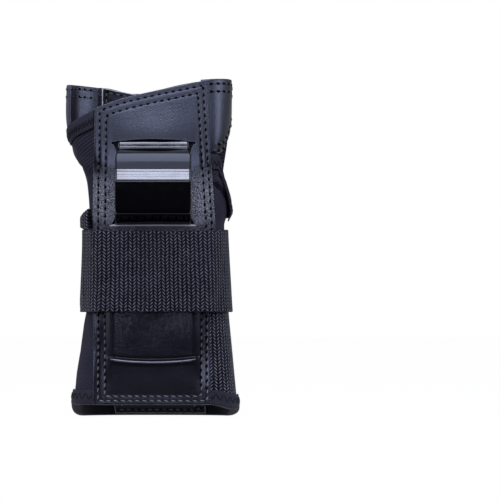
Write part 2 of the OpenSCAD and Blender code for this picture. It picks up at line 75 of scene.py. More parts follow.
# Height, width, depth, and the X and Y of the middle
RINGS = (
    (0, 84.5, 57, 1.5, 3.5),
    (30, 77, 54, 2.4, 2.5),
    (61, 70, 51, 3.2, 1.5),
    (117, 68.5, 49, 1.9, 1.5),
    (143, 82, 50, -1.3, 5),
    (170, 83.6, 48, -1.3, 11),
)
PALM_POWER = 4
BACK_POWER = 2.6
WALL_T = 3
LEATHER_T = 1.2
WEB_T = 2
WEBBING_T = 1.8
TAPE_T = 0.7
TAPE_W = 6.5
GAP = 0.3
PATCH_T = 0.8
SEAM_ANGLE = 0.6
SEAM_IN = 2
BACK_SEAM_X = -27.5
MM_PER_DEGREE = 0.66
GUARD_H = 170
CUFF_RISE = 6.5
PALM_LEFT = -28
PALM_RIGHT_CUFF = 29
PALM_RIGHT_WRIST = 31.3
PALM_RIGHT_TOP = 27
PALM_LOW = 7
PALM_TOP = 169.2
PALM_SLOPE = 14.5
SLOT_X = 1.2
SLOT_HALF = 21
SPLINT_HALF = 19
LOWER_SLOT = (28.5, 29.9)
MIDDLE_SLOT = (96, 102.3)
UPPER_SLOT = (131.5, 138)
BINDING_TOP = 14
THUMB_BACK = 12
THUMB_FAR = 360 + THUMB_BACK
KNIT_EDGE = 131
WEB_END = 196
STRAP_Z = 53
STRAP_W = 41
GUSSET_HIGH = 57


def clamp(f):
    return min(1.0, max(0.0, f))


def ease(f):
    c = clamp(f)
    return c * c * (3 - 2 * c)


def mix(a, b, f):
    return a + (b - a) * f


def bell(f):
    return math.exp(-f * f)


def spread(a, b, n):
    return [mix(a, b, i / n) for i in range(n + 1)]


def always(value):
    return lambda place: value


def joined(*stretches):
    line = []
    for stretch in stretches:
        line += stretch if not line else stretch[1:]
    return line


# %% The surface
def ring_slope(i, k):
    low = RINGS[max(0, i - 1)]
    high = RINGS[min(len(RINGS) - 1, i + 1)]
    return (high[k] - low[k]) / (high[0] - low[0])


@lru_cache(maxsize=None)
def ring(z):
    """Width, depth and place of the sleeve at a height, on a smooth curve through the rings."""
    i = max(k for k in range(len(RINGS) - 1) if k == 0 or z >= RINGS[k][0])
    h = RINGS[i + 1][0] - RINGS[i][0]
    f = (z - RINGS[i][0]) / h
    values = []
    for k in range(1, 5):
        ends = RINGS[i][k] * (1 + 2 * f) * (1 - f) ** 2 + RINGS[i + 1][k] * f**2 * (3 - 2 * f)
        bend = ring_slope(i, k) * (1 - f) - ring_slope(i + 1, k) * f
        values.append(ends + bend * h * f * (1 - f))
    return values


def wall(angle, z, out=0):
    """Point of the sleeve, moved out by a distance."""
    width, depth, x, y = ring(round(z, 3))
    c = math.cos(math.radians(angle))
    s = math.sin(math.radians(angle))
    n = PALM_POWER if s < 0 else BACK_POWER
    a = width / 2
    b = depth / 2
    r = (abs(c / a) ** n + abs(s / b) ** n) ** (-1 / n)
    nx = math.copysign(abs(r * c / a) ** (n - 1) / a, c)
    ny = math.copysign(abs(r * s / b) ** (n - 1) / b, s)
    length = math.hypot(nx, ny)
    return Vector((x + r * c + out * nx / length, y + r * s + out * ny / length, z)) - MIDDLE


def panel_x(angle, z):
    """X of a place on the sleeve, as the panel's columns count it."""
    return wall(angle, z).x + MIDDLE.x


def half_angle(x, z, power, side):
    """Angle at which the palm side (-1) or the back side (1) has a given X."""
    width, depth, x0, _ = ring(round(z, 3))
    u = min(0.999, abs(x - x0) * 2 / width)
    return math.degrees(math.atan2(side * depth / 2 * (1 - u**power) ** (1 / power), x - x0))


def palm_angle(x, z):
    return 360 + half_angle(x, z, PALM_POWER, -1)


def back_angle(x, z):
    return half_angle(x, z, BACK_POWER, 1)


# %% The edges of the sleeve's pieces
def rim(angle):
    """Height of the cuff's edge: raised at the palm, less at the thumb, and none at the back."""
    turn = (angle + 90) % 360
    off = min(turn, 360 - turn)
    thumb = ease((turn - 46) / 20) if turn < 180 else 0
    return (CUFF_RISE - 2.5 * thumb) * ease((114 - off) / 26)


def wall_low(angle):
    return rim(angle) + TAPE_T + GAP


def palm_right(z):
    if z < MIDDLE_SLOT[0]:
        return mix(PALM_RIGHT_CUFF, PALM_RIGHT_WRIST, ease((z - STRAP_Z) / STRAP_W))
    return mix(PALM_RIGHT_WRIST, PALM_RIGHT_TOP, (z - MIDDLE_SLOT[0]) / (GUARD_H - MIDDLE_SLOT[0]))


def palm_edge_high(x):
    u = clamp((x - PALM_LEFT) / (PALM_RIGHT_TOP - PALM_LEFT))
    return PALM_TOP - PALM_SLOPE * (1 - 0.8 * u - 0.2 * (1 - (1 - u) ** 6))


def left_seam(z):
    return palm_angle(PALM_LEFT + SEAM_IN, z)


def right_seam(z):
    return palm_angle(palm_right(z) - SEAM_IN, z)


def back_seam(z):
    return back_angle(BACK_SEAM_X, z)


def finger_seam(z):
    return back_seam(z) + SEAM_ANGLE


def little_finger_high(u):
    return mix(KNIT_EDGE, PALM_TOP - PALM_SLOPE, u**1.5)


def thumb_low(u):
    return mix(KNIT_EDGE, 106.5, ease((u - 0.16) / 0.34))


def thumb_high(u):
    return mix(132.6, 145.5, ease((u - 0.2) / 0.42))


def thumb_lip(angle, z):
    """How far the hem of the thumb opening stands off the sleeve."""
    grow = ease((z - MIDDLE_SLOT[0]) / 8) * ease((122 - z) / 14)
    return 2.2 * grow * ease((angle - 318) / 26) * ease((THUMB_FAR - angle) / 12)


def thumb_web_high(u):
    return 169.5 + 1.2 * math.sin(math.pi * u) - 4 * u**2


def little_finger_web_high(u):
    return 166.5 + 1.2 * math.sin(math.pi * u)


def hem(start, stop):
    """Lower edge of a piece between two angles at the cuff."""
    return lambda u: wall_low(mix(start, stop, u))


def back_high(u):
    return 163.5 + 3 * ease(4 * u - 3)


WEB_SHARE = (WEB_END - back_seam(143)) / (left_seam(143) - back_seam(143))


def finger_web_low(u):
    return little_finger_high(u * WEB_SHARE) + GAP


print("the leather web covers", round(WEB_SHARE, 2), "of the little-finger edge")

# %% [markdown]
# ## Sheets and stitches
#
# A sheet starts as a flat grid. Each corner keeps its two grid values, openings are cut out,
# the grid is doubled by an extrusion, and both faces are then laid on the surface.
# The rim is bevelled and has its own material, since a cut edge looks different from the face.


# %% A sheet with an outer and an inner face
def make_object(name, bm, *materials):
    mesh = bpy.data.meshes.new(name)
    bm.to_mesh(mesh)
    bm.free()
    for face in mesh.polygons:
        face.use_smooth = True
    for material in materials:
        mesh.materials.append(material)
    made = bpy.data.objects.new(name, mesh)
    bpy.context.scene.collection.objects.link(made)
    return made


def cell_middle(face, layer):
    return sum(v[layer] for v in face.verts) / 4


def make_sheet(name, us, vs, outer, inner, chart, materials, cut=None, bevel=0.3):
    """A thin piece between outer(u, v) and inner(u, v), with chart(u, v) as its place on flat cloth."""
    bm = bmesh.new()
    across = bm.verts.layers.float.new("across")
    along = bm.verts.layers.float.new("along")
    bmesh.ops.create_grid(bm, x_segments=len(us) - 1, y_segments=len(vs) - 1, size=0.5)
    for v in bm.verts:
        v[across] = us[round((v.co.x + 0.5) * (len(us) - 1))]
        v[along] = vs[round((v.co.y + 0.5) * (len(vs) - 1))]
    if cut:
        open_cells = [f for f in bm.faces if cut(cell_middle(f, across), cell_middle(f, along))]
        bmesh.ops.delete(bm, geom=open_cells, context="FACES")
    doubled = bmesh.ops.extrude_face_region(bm, geom=bm.faces[:], use_keep_orig=True)
    back = {e for e in doubled["geom"] if isinstance(e, bmesh.types.BMVert)}
    chart_layer = bm.loops.layers.uv.new("UVMap")
    rims = set()
    for f in bm.faces:
        behind = [v in back for v in f.verts]
        if any(behind) and not all(behind):
            f.material_index = len(materials) - 1
            rims.add(f)
        for loop in f.loops:
            loop[chart_layer].uv = chart(loop.vert[across], loop.vert[along])
    for v in bm.verts:
        v.co = (inner if v in back else outer)(v[across], v[along]) * MM
    bmesh.ops.recalc_face_normals(bm, faces=bm.faces[:])
    edges = [e for e in bm.edges if len(rims.intersection(e.link_faces)) == 1]
    bmesh.ops.bevel(
        bm, geom=edges, offset=bevel * MM, segments=2, profile=0.5, affect="EDGES",
        material=len(materials) - 1, clamp_overlap=True,
    )
    for layer in ("across", "along"):
        bm.verts.layers.float.remove(bm.verts.layers.float[layer])
    return make_object(name, bm, *materials)


# %% A stretch of the sleeve between two depths
CHART = 0.1
MM_ON_CHART = 1 / CHART
TURN = MM_PER_DEGREE * CHART


def flat(angle, z):
    return 0.0


def sleeve_place(sides, u, v):
    """Angle and height between two sides and two edges: first side, second side, lower, upper."""
    start, stop, low, high = sides
    z = mix(low(u), high(u), v)
    return mix(start(z), stop(z), u), z


def sleeve_face(sides, out, relief=flat):
    def at(u, v):
        angle, z = sleeve_place(sides, u, v)
        return wall(angle, z, out + relief(angle, z))

    return at


def sleeve_piece(name, sides, depths, cells, materials, relief=flat, bevel=0.3):
    def chart(u, v):
        angle, z = sleeve_place(sides, u, v)
        return angle * TURN, z * CHART

    outer = sleeve_face(sides, depths[0], relief)
    inner = sleeve_face(sides, depths[1], relief)
    us = spread(0, 1, cells[0])
    vs = spread(0, 1, cells[1])
    return make_sheet(name, us, vs, outer, inner, chart, materials, bevel=bevel)


# %% Rows of stitches
THREAD_HALF = 0.34
THREAD_RISE = 0.3
THREAD_UP = 0.08
# Needle holes are dark beads, a little proud of the face: painted shade where a hole would be shaded.
HOLE_HALF = 0.78
HOLE_LONG = 1.2
HOLE_RISE = 0.16
HOLE_SHIFT = 0.4


def add_bead(bm, middle, line, side, up, material):
    """A rounded bead with three half axes."""
    axes = Matrix((line, side, up)).transposed() * MM
    grid = Matrix.Translation(middle * MM) @ axes.to_4x4()
    made = bmesh.ops.create_uvsphere(bm, u_segments=6, v_segments=5, radius=1, matrix=grid)
    for f in {f for v in made["verts"] for f in v.link_faces}:
        f.material_index = material


def add_stitch(bm, p, q, normal, holes=True):
    """One bead of thread from p to q, half sunk in the face, and at its end a dark bead of painted shade
    where the needle went through.
    """
    line = q - p
    side = normal.cross(line).normalized()
    up = line.cross(side).normalized()
    add_bead(bm, (p + q) / 2 + up * THREAD_UP, line / 2, side * THREAD_HALF, up * THREAD_RISE, 0)
    if holes:
        along = line.normalized() * HOLE_LONG
        add_bead(bm, q + along * HOLE_SHIFT, along, side * HOLE_HALF, up * HOLE_RISE, 1)


def face_normal(at, u, v, step_u, step_v):
    run = at(u + step_u, v) - at(u - step_u, v)
    rise = at(u, v + step_v) - at(u, v - step_v)
    return run.cross(rise).normalized()


def covered(points):
    """The length covered at each point of a line."""
    return [0.0, *accumulate((q - p).length for p, q in pairwise(points))]


def along_row(rows, length):
    for (a, ua, va), (b, ub, vb) in pairwise(rows):
        if length <= b:
            f = (length - a) / max(b - a, 1e-6)
            return mix(ua, ub, f), mix(va, vb, f)
    return rows[-1][1:]


def sew(bm, at, path, pitch=3.6, stitch=2.5, step=(0.5, 0.5), slant=0.12, flip=1):
    """Stitches of a length at a pitch along a path of (u, v) values on a face."""
    lengths = covered([at(u, v) for u, v in path])
    rows = [(length, u, v) for length, (u, v) in zip(lengths, path)]
    count = max(1, round(rows[-1][0] / pitch))
    pitch = rows[-1][0] / count
    for i in range(count):
        u0, v0 = along_row(rows, i * pitch + (pitch - stitch) / 2)
        u1, v1 = along_row(rows, i * pitch + (pitch + stitch) / 2)
        normal = face_normal(at, (u0 + u1) / 2, (v0 + v1) / 2, *step) * flip
        p = at(u0, v0)
        q = at(u1, v1)
        side = normal.cross(q - p).normalized() * slant
        add_stitch(bm, p + side, q - side, normal)


def zigzag(bm, at, count, low, high, step=(0.01, 0.01)):
    """A line of V stitches: u runs from 0 to 1 and v swings between low and high."""
    for i in range(count):
        a = (i / count, low if i % 2 else high)
        b = ((i + 1) / count, high if i % 2 else low)
        normal = face_normal(at, (a[0] + b[0]) / 2, (a[1] + b[1]) / 2, *step)
        add_stitch(bm, at(*a), at(*b), normal, holes=False)


# %% [markdown]
# ## Materials
#
# A `Socket` wraps one output of a node tree, so that a weave can be written as a formula.

# %% Formulas for node trees
class Socket:
    def __init__(self, tree, output):
        self.tree = tree
        self.output = output

    def derive(self, kind, sockets, output=0, **settings):
        """An output of a new node. Its inputs are fed by other sockets or hold plain values."""
        made = self.tree.nodes.new(kind)
        for name, value in settings.items():
            setattr(made, name, value)
        for name, value in sockets.items():
            if isinstance(value, Socket):
                self.tree.links.new(value.output, made.inputs[name])
            else:
                made.inputs[name].default_value = value
        return Socket(self.tree, made.outputs[output])

    def math(self, operation, other=0.0):
        return self.derive("ShaderNodeMath", {0: self, 1: other}, operation=operation)

    def __add__(self, other):
        return self.math("ADD", other)

    def __sub__(self, other):
        return self.math("SUBTRACT", other)

    def __mul__(self, other):
        return self.math("MULTIPLY", other)

    def __truediv__(self, other):
        return self.math("DIVIDE", other)

    def wave(self):
        return (self * math.tau).math("SINE") * 0.5 + 0.5

    def ramp(self, low, high):
        sockets = {"Value": self, "From Min": low, "From Max": high}
        return self.derive("ShaderNodeMapRange", sockets, interpolation_type="SMOOTHSTEP")

    def part(self, axis):
        return self.derive("ShaderNodeSeparateXYZ", {0: self}, axis)

    def noise(self, scale, detail=2.0):
        return self.derive("ShaderNodeTexNoise", {"Vector": self, "Scale": scale, "Detail": detail})

    def cells(self, scale):
        sockets = {"Vector": self, "Scale": scale}
        return self.derive("ShaderNodeTexVoronoi", sockets, feature="DISTANCE_TO_EDGE")

    def colours(self, dark, light):
        sockets = {0: self, 6: (*dark, 1), 7: (*light, 1)}
        return self.derive("ShaderNodeMix", sockets, 2, data_type="RGBA")


def finish_material(name, pattern, bump, **constants):
    """A material whose pattern(place, chart) gives colour, roughness and height."""
    made = bpy.data.materials.new(name)
    made.use_nodes = True
    tree = made.node_tree
    shader = tree.nodes["Principled BSDF"]
    coordinates = tree.nodes.new("ShaderNodeTexCoord")
    place = Socket(tree, coordinates.outputs["Object"])
    chart = Socket(tree, coordinates.outputs["UV"])
    colour, roughness, height = pattern(place, chart)
    relief = place.derive("ShaderNodeBump", {"Height": height, "Distance": bump * MM, "Strength": 1.0})
    for socket, source in (("Base Color", colour), ("Roughness", roughness), ("Normal", relief)):
        tree.links.new(source.output, shader.inputs[socket])
    for socket, value in constants.items():
        shader.inputs[socket.replace("_", " ")].default_value = value
    return made


# %% Leather, smooth at the top of the palm and grained round the heel of the hand, with painted glints on that grain
def leather_pattern(place, chart):
    z = place.part(2)
    heel = z.ramp(0.128, 0.113) * z.ramp(0.086, 0.094)
    top = z.ramp(0.13, 0.15)
    low = z.ramp(0.09, 0.07) * z.ramp(0.027, 0.033)
    pebbles = place.cells(850).ramp(0.0, 0.4)
    creases = place.noise(420, 3)
    grain = heel * 0.85 + top * 0.05 + low * 0.05 + 0.06
    height = (pebbles * 0.7 + creases * 0.8) * grain + place.noise(60) * 0.2
    # The pale bluish specks round the heel are painted glints: highlights of the lamps on the grain, painted
    # into the colour.
    painted_glints = place.noise(1900).ramp(0.36, 0.7) * heel * z.ramp(0.094, 0.104)
    tone = painted_glints + place.noise(45, 3) * 0.02
    colour = tone.colours((0.003, 0.003, 0.0045), (0.23, 0.235, 0.285))
    roughness = place.noise(300) * 0.1 + heel * 0.25 + top * 0.17 + 0.17
    return colour, roughness, height


def painted_blue_shine(level):
    """A shine of a given level, tinted bluish: the blue of the light, painted into the reflection."""
    return {"Specular_Tint": (0.6, 0.66, 1.0, 1.0), "Specular_IOR_Level": level}


leather = finish_material("leather", leather_pattern, 0.45, **painted_blue_shine(0.7))
lining_leather = finish_material("lining_leather", leather_pattern, 0.45, **painted_blue_shine(0.1))


# %% The cut edge of leather: grey, made paler still as a painted highlight
def plain(grain, dark, light, roughness, swing=0.1):
    """Colour, roughness and height that all follow one grain."""
    return grain.colours(dark, light), grain * swing + roughness, grain


def cut_edge_and_glint_pattern(place, chart):
    # Raw leather edges are grey; the pale end of this colour is also a painted highlight, for the glint on
    # the slots' lips and the panel's edges.
    return plain(place.noise(900, 3), (0.16, 0.16, 0.19), (0.42, 0.42, 0.48), 0.45, 0.2)


cut_edge = finish_material("leather_cut_edge", cut_edge_and_glint_pattern, 0.1)


# %% Knit: a fine diagonal twill
def knit_pattern(place, chart):
    s = chart.part(0) * MM_ON_CHART
    t = chart.part(1) * MM_ON_CHART
    diagonal = (s * 0.42 - t * 0.62).wave()
    stitches = (s * 0.9).wave() * 0.5 + (t * 0.9 + s * 0.45).wave() * 0.5
    fuzz = place.noise(1500)
    height = diagonal * 0.7 + stitches * 0.35 + fuzz * 0.3
    tone = diagonal * 0.45 + stitches * 0.2 + place.noise(70, 3) * 0.5
    colour = tone.ramp(0.1, 1.1).colours((0.0095, 0.0085, 0.0145), (0.031, 0.028, 0.048))
    return colour, fuzz * 0.1 + 0.72, height


knit = finish_material("knit", knit_pattern, 0.22, **painted_blue_shine(0.12))


# %% Elastic webbing: a herringbone of columns across the strap
COLUMN_W = 4.1
YARN_PITCH = 1.68


def webbing_and_glint_pattern(place, chart):
    s = chart.part(0) * MM_ON_CHART / COLUMN_W + place.noise(90) * 0.2
    t = chart.part(1) * MM_ON_CHART
    zig = (s.math("FRACT") - 0.5).math("ABSOLUTE") * 2
    yarn = (t / YARN_PITCH + zig * 1.25).wave()
    ridge = (s * 2 - 0.25).wave()
    fuzz = place.noise(1500)
    float_yarn = yarn.ramp(0.3, 0.75) * (ridge * 0.7 + 0.3)
    height = float_yarn + fuzz * 0.2
    # The weave is real, but the floats' pale bluish colour on the black webbing is a painted highlight of
    # the yarn tops.
    tone = float_yarn * (fuzz.ramp(0.3, 0.7) * 0.5 + 0.6) + place.noise(120) * 0.3
    colour = tone.ramp(0.34, 1.1).colours((0.0004, 0.0004, 0.0008), (0.15, 0.148, 0.21))
    return colour, fuzz * 0.15 + 0.5, height


webbing = finish_material("webbing", webbing_and_glint_pattern, 0.6, **painted_blue_shine(0.12))


# %% Binding tape with fine ribs
RIB_PITCH = 0.9


def tape_pattern(place, chart):
    ribs = (chart.part(0) * MM_ON_CHART / RIB_PITCH).wave()
    fuzz = place.noise(900)
    tone = ribs * 0.4 + place.noise(90) * 0.6
    colour = tone.colours((0.01, 0.0095, 0.0145), (0.03, 0.0275, 0.0425))
    return colour, fuzz * 0.1 + 0.65, ribs * 0.6 + fuzz * 0.5


tape = finish_material("tape", tape_pattern, 0.15, **painted_blue_shine(0.12))


# %% Thread, paler towards the cuff as a painted highlight, and needle holes as beads of painted shade, lighter in the lowest rows
def thread_twist(place):
    return (place.part(2) * 1400 + place.part(0) * 900).wave()


def thread_pattern(place, chart):
    twist = thread_twist(place)
    # Thread is painted paler towards the cuff: a painted highlight for the lamps' glints on the stitches
    # there.
    low_painted_highlight = place.part(2).ramp(0.06, 0.02)
    colour = (twist * 0.4 + low_painted_highlight * 0.6).colours((0.018, 0.018, 0.024), (0.13, 0.13, 0.165))
    return colour, twist * 0.1 + 0.35, twist


def dark_thread_pattern(place, chart):
    return plain(thread_twist(place), (0.003, 0.003, 0.004), (0.012, 0.012, 0.016), 0.4)


# Near black: painted shade of a needle hole, paler in the lowest rows.
def hole_shade_pattern(place, chart):
    grain = place.noise(900)
    lighter_low = place.part(2).ramp(0.016, 0.012)
    colour = (grain * 0.1 + lighter_low * 0.9).colours((0.0006, 0.0006, 0.0008), (0.016, 0.016, 0.021))
    return colour, grain * 0.1 + 0.85, grain


thread = finish_material("thread", thread_pattern, 0.08)
dark_thread = finish_material("dark_thread", dark_thread_pattern, 0.08, **painted_blue_shine(0.1))
hole_shade = finish_material("needle_hole_shade", hole_shade_pattern, 0.02, Specular_IOR_Level=0.05)


# %% Glossy plastic, inner plastic, foam, hook and loop
HOOK_PITCH = 1.1


def gloss_pattern(place, chart):
    z = place.part(2)
    haze = place.noise(35, 3)
    scuffs = place.noise(220, 4)
    crest = z.ramp(0.116, 0.118) * z.ramp(0.1255, 0.1235)
    ripples = (z * 570 + haze * 0.5).wave() * crest
    colour = haze.colours((0.0012, 0.0012, 0.0018), (0.002, 0.002, 0.0028))
    return colour, scuffs.ramp(0.35, 0.8) * 0.05 + 0.09, haze * 0.1 + ripples


def inner_plastic_pattern(place, chart):
    return plain(place.noise(700, 3), (0.01, 0.01, 0.012), (0.018, 0.018, 0.02), 0.45)


def foam_pattern(place, chart):
    return plain(place.cells(1200), (0.03, 0.03, 0.033), (0.06, 0.06, 0.065), 0.85)


def hook_pattern(place, chart):
    rows = (chart.part(0) * MM_ON_CHART / HOOK_PITCH).wave()
    dots = rows * (chart.part(1) * MM_ON_CHART / HOOK_PITCH).wave()
    return plain(dots, (0.008, 0.008, 0.01), (0.03, 0.03, 0.034), 0.4)


def loop_pattern(place, chart):
    return plain(place.noise(1300, 4), (0.014, 0.013, 0.017), (0.05, 0.048, 0.06), 0.85)


# The splint's reflections are tinted bluish: the blue of the light, painted into the reflection.
gloss = finish_material("gloss_plastic", gloss_pattern, 0.024, Specular_Tint=(0.8, 0.83, 1.0, 1.0))
inner_plastic = finish_material("inner_plastic", inner_plastic_pattern, 0.05)
foam = finish_material("foam", foam_pattern, 0.2)
hook = finish_material("hook_face", hook_pattern, 0.4)
loop = finish_material("loop_face", loop_pattern, 0.4, Sheen_Weight=0.3)
print("materials:", len(bpy.data.materials))

# %% [markdown]
# ## The knit sleeve
#
# The sides are soft: the knit creases where the hand part meets the wrist, and wrinkles
# a little towards the strap.


# %% Creases of the knit
def little_finger_creases(angle, z):
    line = 127.5 - 0.16 * (angle - 180)
    fold = (1.2 * bell((z - line - 4) / 3.5) - 1.7 * bell((z - line) / 1.2)) * ease((228 - angle) / 20)
    soft = noise.noise(Vector((angle * 0.07, z * 0.05, 3.0))) * 0.5
    drape = noise.noise(Vector((angle * 0.11 + z * 0.05, z * 0.015, 6.0))) * 0.9 * ease((56 - z) / 10)
    return (fold + (soft + drape) * ease((z - 12) / 12)) * ease((angle - back_seam(z)) / 12)


def flap_line(angle):
    """Height of the fold below the thumb opening's hem."""
    return 118 - 15 * ease((angle - 322) / 36)


def thumb_sides(angle):
    return ease((angle - 323) / 5) * ease((THUMB_FAR - angle) / 10)


def thumb_flap(angle, z):
    rise = 1.3 * ease((flap_line(angle) + 12 - z) / 8) * thumb_sides(angle)
    return thumb_lip(angle, z) + rise


def thumb_creases(angle, z):
    line = flap_line(angle)
    groove = 1.6 * bell((z - line + 0.7) / 0.8)
    wrinkle = 0.25 * math.sin(z * 1.7 + angle * 0.25) * ease((z - line) / 4)
    soft = noise.noise(Vector((angle * 0.08, z * 0.06, 9.0))) * 0.4
    lifted = mix(thumb_lip(angle, z), thumb_flap(angle, z), ease((z - line) / 0.9))
    return lifted + (wrinkle + soft - groove) * thumb_sides(angle)


POCKET_LOW = 12
POCKET_MIN = 1
POCKET_RISE = 2.3
SPLINT_ROOM = 2.3


def pocket_height(z):
    """Lift of the leather over the splint. It is most where the strap holds them."""
    if z > MIDDLE_SLOT[1]:
        return 0.0
    return POCKET_MIN + POCKET_RISE * clamp((z - POCKET_LOW) / (STRAP_Z - POCKET_LOW))


def pressed(z):
    """How far the splint's flat ends sink into the padding beneath them."""
    if z > MIDDLE_SLOT[1]:
        return 1.4 * clamp((z - UPPER_SLOT[0] - 1) / 5.5) + clamp((z - UPPER_SLOT[1]) / 2.5)
    return max(0, SPLINT_ROOM - pocket_height(z))


def palm_hollow(angle, z):
    x = panel_x(angle, z)
    side = ease((SLOT_HALF + 1 - abs(x - SLOT_X)) / 3)
    return -1.06 * pressed(z) * side * ease((z - 10) / 4) * ease((154 - z) / 4)


def back_creases(angle, z):
    sides = ease((angle - THUMB_BACK) / 12) * ease((back_seam(z) - angle) / 12)
    return noise.noise(Vector((angle * 0.06, z * 0.04, 5.0))) * 0.5 * ease((z - 12) / 12) * sides


# %% Knit pieces
WALL = (0, -WALL_T)
BACK_START = THUMB_BACK + SEAM_ANGLE


def palm_knit_high(u):
    return palm_edge_high(mix(PALM_LEFT, PALM_RIGHT_TOP, u)) - 0.5


palm_sides = (
    lambda z: left_seam(z) + SEAM_ANGLE, lambda z: right_seam(z) - SEAM_ANGLE,
    always(CUFF_RISE + TAPE_T + GAP), palm_knit_high,
)
finger_sides = (finger_seam, left_seam, hem(back_seam(0), left_seam(0)), little_finger_high)
back_sides = (always(BACK_START), back_seam, hem(BACK_START, back_seam(0)), back_high)
thumb_knit_sides = (right_seam, always(THUMB_FAR), always(GUSSET_HIGH + GAP), thumb_low)
gusset_sides = (right_seam, always(THUMB_FAR), hem(right_seam(0), THUMB_FAR), always(GUSSET_HIGH))
palm_knit = sleeve_piece("palm_knit", palm_sides, WALL, (48, 80), (knit,), palm_hollow)
little_finger_knit = sleeve_piece(
    "little_finger_knit", finger_sides, WALL, (50, 110), (knit,), little_finger_creases
)
back_knit = sleeve_piece("back_knit", back_sides, WALL, (60, 80), (knit,), back_creases)
thumb_knit = sleeve_piece("thumb_knit", thumb_knit_sides, WALL, (50, 110), (knit,), thumb_creases)
gusset = sleeve_piece("cuff_elastic", gusset_sides, WALL, (40, 50), (webbing,))
print("sleeve pieces laid")


# %% Leather beside the fingers
def web_folds(angle, z):
    return noise.noise(Vector((angle * 0.09, z * 0.02, 1.0))) * 0.5


thumb_web = (right_seam, always(THUMB_FAR), thumb_high, thumb_web_high)
finger_web = (finger_seam, always(WEB_END), finger_web_low, little_finger_web_high)
thumb_leather = sleeve_piece(
    "thumb_leather", thumb_web, (0, -WEB_T), (44, 40), (leather,), web_folds, bevel=0.5
)
little_finger_leather = sleeve_piece(
    "little_finger_leather", finger_web, (0, -WEB_T), (40, 40), (leather,), web_folds, bevel=0.5
)
print("leather webs laid")

# %% [markdown]
# ## Binding tape
#
# The tape is folded over the fabric's edge. Across the fold, w runs from -1 on the inner face
# over 0 at the edge to 1 on the outer face.

# %% A folded tape
TURN_SHARE = 0.35
MOST_REACH = 1.35


def fold(w, thick, lift):
    half = thick / 2 + GAP + lift
    if abs(w) < TURN_SHARE:
        turn = w / TURN_SHARE * math.pi / 2
        return -thick / 2 + half * math.sin(turn), -(GAP + lift) * math.cos(turn) ** 0.7
    leg = (abs(w) - TURN_SHARE) / (1 - TURN_SHARE)
    crown = 0.2 * math.sin(math.pi * leg) * lift / TAPE_T
    return -thick / 2 + math.copysign(half + crown, w), leg * TAPE_W


def tape_reach(edge, u):
    """How much further along Z the tape reaches where its edge is steep."""
    angle_0, z_0 = edge(u - 0.01)
    angle_1, z_1 = edge(u + 0.01)
    slope = (z_1 - z_0) / (angle_1 - angle_0) / MM_PER_DEGREE
    return min(MOST_REACH, math.hypot(1, slope))


def binding_face(edge, into, lift, flare=flat):
    def at(u, w):
        angle, z0 = edge(u)
        out, away = fold(w, WALL_T, lift)
        z = z0 + into * away * tape_reach(edge, u)
        return wall(angle, z, out + flare(angle, z))

    return at


def binding_piece(name, edge, into, cells, flare=flat):
    def chart(u, w):
        return edge(u)[0] * TURN, w

    outer = binding_face(edge, into, TAPE_T, flare)
    inner = binding_face(edge, into, 0, flare)
    us = spread(0, 1, cells)
    return make_sheet(name, us, spread(-1, 1, 28), outer, inner, chart, (tape,), bevel=0.15)


# %% The three bindings
def cuff_edge(u):
    return 360 * u, wall_low(360 * u)


def little_finger_edge(u):
    z0 = PALM_TOP - PALM_SLOPE
    start = (palm_angle(PALM_LEFT - 2 * GAP, z0) - back_seam(z0)) / (left_seam(z0) - back_seam(z0))
    share = mix(start, WEB_SHARE, u)
    z = little_finger_high(share)
    return mix(finger_seam(z), left_seam(z), share), z


def thumb_edge(u):
    seam = right_seam(KNIT_EDGE)
    near = palm_angle(palm_right(KNIT_EDGE) + 2 * GAP, KNIT_EDGE)
    share = mix(1, (near - seam) / (THUMB_FAR - seam), u)
    z = thumb_low(share)
    return mix(right_seam(z), THUMB_FAR, share), z


cuff_tape = binding_piece("cuff_tape", cuff_edge, 1, 180)
little_finger_tape = binding_piece("little_finger_tape", little_finger_edge, -1, 40)
thumb_tape = binding_piece("thumb_tape", thumb_edge, -1, 80, thumb_flap)
print("bindings folded")

# %% [markdown]
# ## The palm panel
#
# One piece of leather with three slots. It lies on the knit, rises over the splint where
# the splint runs beneath it, and its slots gape: the lips are lifted and curled.

# %% Columns and rows that follow the slots
SLOT_LEFT = SLOT_X - SLOT_HALF
SLOT_RIGHT = SLOT_X + SLOT_HALF
PANEL_COLUMNS = joined(
    spread(PALM_LEFT, SLOT_LEFT, 14), spread(SLOT_LEFT, SLOT_RIGHT, 50),
    spread(SLOT_RIGHT, PALM_RIGHT_WRIST, 15),
)
PANEL_ROWS = joined(
    spread(PALM_LOW, 26, 26), spread(26, LOWER_SLOT[0], 9), spread(*LOWER_SLOT, 2),
    spread(LOWER_SLOT[1], STRAP_Z, 32), spread(STRAP_Z, 93, 26), spread(93, MIDDLE_SLOT[0], 10),
    spread(*MIDDLE_SLOT, 8), spread(MIDDLE_SLOT[1], UPPER_SLOT[0], 38), spread(*UPPER_SLOT, 8),
    spread(UPPER_SLOT[1], PALM_TOP, 42),
)
SLOT_SAG = 1.4
SLOT_CLOSED = 1.7
SLOT_END = 5.4
SLOT_ARCH = 1.5
# Stitch rows lie this far in from the left, right, top and bottom edges
SEWN_ROWS = ((2.2, 1.3, 2.2, 1.7), (5.4, 4.0, 5.7, 4.0))


